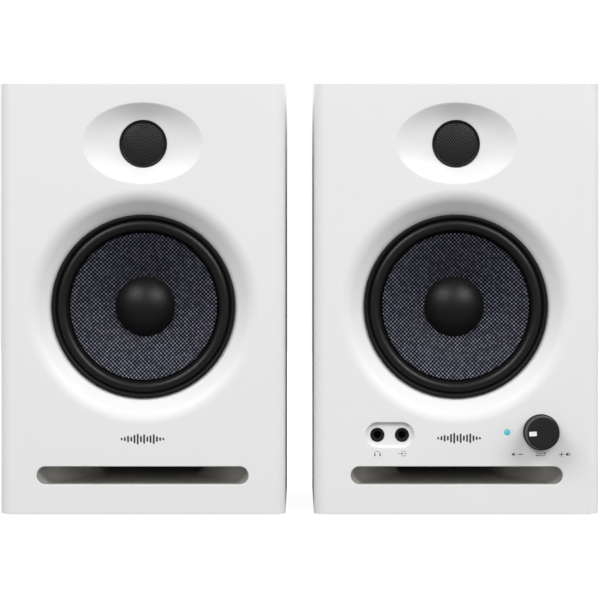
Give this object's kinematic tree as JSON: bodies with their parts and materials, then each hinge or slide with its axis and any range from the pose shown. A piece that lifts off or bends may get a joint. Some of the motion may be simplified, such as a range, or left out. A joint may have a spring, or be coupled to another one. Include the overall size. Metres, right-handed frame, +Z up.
{
  "type": "pair of powered desktop loudspeakers",
  "caption": "Pair of white desktop loudspeakers, each with a woven-cone woofer, a tweeter in an elliptical waveguide and a slot port; the right one has a volume knob and sockets.",
  "frame": {"origin": "centre of the pair's footprint, on the desk", "axes": "+X to the right as seen from the front, +Y towards the back, +Z up; the fronts face -Y"},
  "size_m": [0.3066, 0.2056, 0.2212],
  "materials": {
    "white_board": "satin white wrap over fibreboard",
    "white_moulding": "satin",
    "black_rubber": "satin",
    "black_mesh": "perforated, satin black",
    "black_plastic": "matt",
    "knob_black": "matt",
    "red_plastic": "gloss",
    "panel_black": "powder coat",
    "dark_silk": "doped silk",
    "woven_cone": "woven thread in resin",
    "spider_cloth": "stiffened cloth",
    "coil_copper": "enamelled wire",
    "ferrite": "sintered",
    "motor_steel": "zinc plated",
    "screw_steel": "zinc plated",
    "basket_alloy": "die cast",
    "contact_gold": "gilt",
    "circuit_board": "solder mask",
    "status_glow": "lit light pipe"
  },
  "bodies": {
    "right_speaker": {"right_cabinet": "white_board", "right_front_baffle": "white_moulding", "right_port_duct": "white_moulding", "right_feet": "black_rubber", "right_tweeter_grille": "black_mesh", "right_tweeter_housing": "black_plastic", "right_tweeter_magnet": "motor_steel", "right_woofer_trim_ring": "black_plastic", "right_woofer_basket": "basket_alloy", "right_woofer_surround": "black_rubber", "right_spider": "spider_cloth", "right_woofer_magnet": "ferrite", "right_motor_plates": "motor_steel", "right_driver_screws": "screw_steel", "volume_potentiometer": "basket_alloy", "front_jacks": "black_plastic", "status_light": "status_glow", "control_board": "circuit_board", "amp_panel": "panel_black", "amp_panel_screws": "screw_steel", "amp_board": "circuit_board", "power_supply": "circuit_board", "mains_inlet": "black_plastic", "power_switch_frame": "black_plastic", "rca_inputs": "contact_gold", "speaker_out_terminal": "black_plastic"},
    "left_speaker": {"left_cabinet": "white_board", "left_front_baffle": "white_moulding", "left_port_duct": "white_moulding", "left_feet": "black_rubber", "left_tweeter_grille": "black_mesh", "left_tweeter_housing": "black_plastic", "left_tweeter_magnet": "motor_steel", "left_woofer_trim_ring": "black_plastic", "left_woofer_basket": "basket_alloy", "left_woofer_surround": "black_rubber", "left_spider": "spider_cloth", "left_woofer_magnet": "ferrite", "left_motor_plates": "motor_steel", "left_driver_screws": "screw_steel", "left_terminal_plate": "black_plastic", "left_crossover": "circuit_board"},
    "left_woofer_moving": {"left_woofer_cone": "woven_cone", "left_dust_cap": "black_plastic", "left_voice_coil": "coil_copper"},
    "right_woofer_moving": {"right_woofer_cone": "woven_cone", "right_dust_cap": "black_plastic", "right_voice_coil": "coil_copper"},
    "left_tweeter_moving": {"left_tweeter_dome": "dark_silk"},
    "right_tweeter_moving": {"right_tweeter_dome": "dark_silk"},
    "left_red_lever": {"left_red_clip": "red_plastic"},
    "left_black_lever": {"left_black_clip": "knob_black"},
    "out_red_lever": {"out_red_clip": "red_plastic"},
    "out_black_lever": {"out_black_clip": "knob_black"},
    "volume_wiper": {"wiper_rotor": "black_plastic"},
    "volume_dial": {"volume_knob": "knob_black", "knob_shaft": "motor_steel"},
    "power_rocker": {"power_rocker": "knob_black"},
    "bass_dial": {"bass_knob": "knob_black"},
    "treble_dial": {"treble_knob": "knob_black"}
  },
  "joints": [
    {"name": "left_speaker_slide", "type": "slide", "parent": "right_speaker", "child": "left_speaker", "axis": [-1, 0, 0], "range_m": [0, 0.4]},
    {"name": "left_woofer_stroke", "type": "slide", "parent": "left_speaker", "child": "left_woofer_moving", "axis": [0, 1, 0], "range_m": [-0.003, 0.003], "stiffness_N_per_m": 400, "deforming": ["left_woofer_surround", "left_spider"]},
    {"name": "left_tweeter_stroke", "type": "slide", "parent": "left_speaker", "child": "left_tweeter_moving", "axis": [0, 1, 0], "range_m": [-0.0003, 0.0003], "stiffness_N_per_m": 15},
    {"name": "right_woofer_stroke", "type": "slide", "parent": "right_speaker", "child": "right_woofer_moving", "axis": [0, 1, 0], "range_m": [-0.003, 0.003], "stiffness_N_per_m": 400, "deforming": ["right_woofer_surround", "right_spider"]},
    {"name": "right_tweeter_stroke", "type": "slide", "parent": "right_speaker", "child": "right_tweeter_moving", "axis": [0, 1, 0], "range_m": [-0.0003, 0.0003], "stiffness_N_per_m": 15},
    {"name": "volume_turn", "type": "hinge", "parent": "right_speaker", "child": "volume_wiper", "pos_m": [0.1233, -0.08925, 0.0431], "axis": [0, 1, 0], "range_deg": [-60, 240]},
    {"name": "mode_press", "type": "slide", "parent": "volume_wiper", "child": "volume_dial", "axis": [0, 1, 0], "range_m": [0, 0.0005], "stiffness_N_per_m": 2000, "springref_m": -0.001},
    {"name": "bass_turn", "type": "hinge", "parent": "right_speaker", "child": "bass_dial", "pos_m": [0.0583, 0.09075, 0.1692], "axis": [0, 1, 0], "range_deg": [-150, 150]},
    {"name": "treble_turn", "type": "hinge", "parent": "right_speaker", "child": "treble_dial", "pos_m": [0.1023, 0.09075, 0.1692], "axis": [0, 1, 0], "range_deg": [-150, 150]},
    {"name": "power_rock", "type": "hinge", "parent": "right_speaker", "child": "power_rocker", "pos_m": [0.0523, 0.08925, 0.0632], "axis": [1, 0, 0], "range_deg": [0, 20]},
    {"name": "left_red_press", "type": "hinge", "parent": "left_speaker", "child": "left_red_lever", "pos_m": [-0.0893, 0.09475, 0.1112], "axis": [-1, 0, 0], "range_deg": [0, 25], "stiffness_Nm_per_rad": 0.02, "springref_deg": -17.19},
    {"name": "left_black_press", "type": "hinge", "parent": "left_speaker", "child": "left_black_lever", "pos_m": [-0.0713, 0.09475, 0.1112], "axis": [-1, 0, 0], "range_deg": [0, 25], "stiffness_Nm_per_rad": 0.02, "springref_deg": -17.19},
    {"name": "out_red_press", "type": "hinge", "parent": "right_speaker", "child": "out_red_lever", "pos_m": [0.0713, 0.09475, 0.1112], "axis": [-1, 0, 0], "range_deg": [0, 25], "stiffness_Nm_per_rad": 0.02, "springref_deg": -17.19},
    {"name": "out_black_press", "type": "hinge", "parent": "right_speaker", "child": "out_black_lever", "pos_m": [0.0893, 0.09475, 0.1112], "axis": [-1, 0, 0], "range_deg": [0, 25], "stiffness_Nm_per_rad": 0.02, "springref_deg": -17.19}
  ]
}
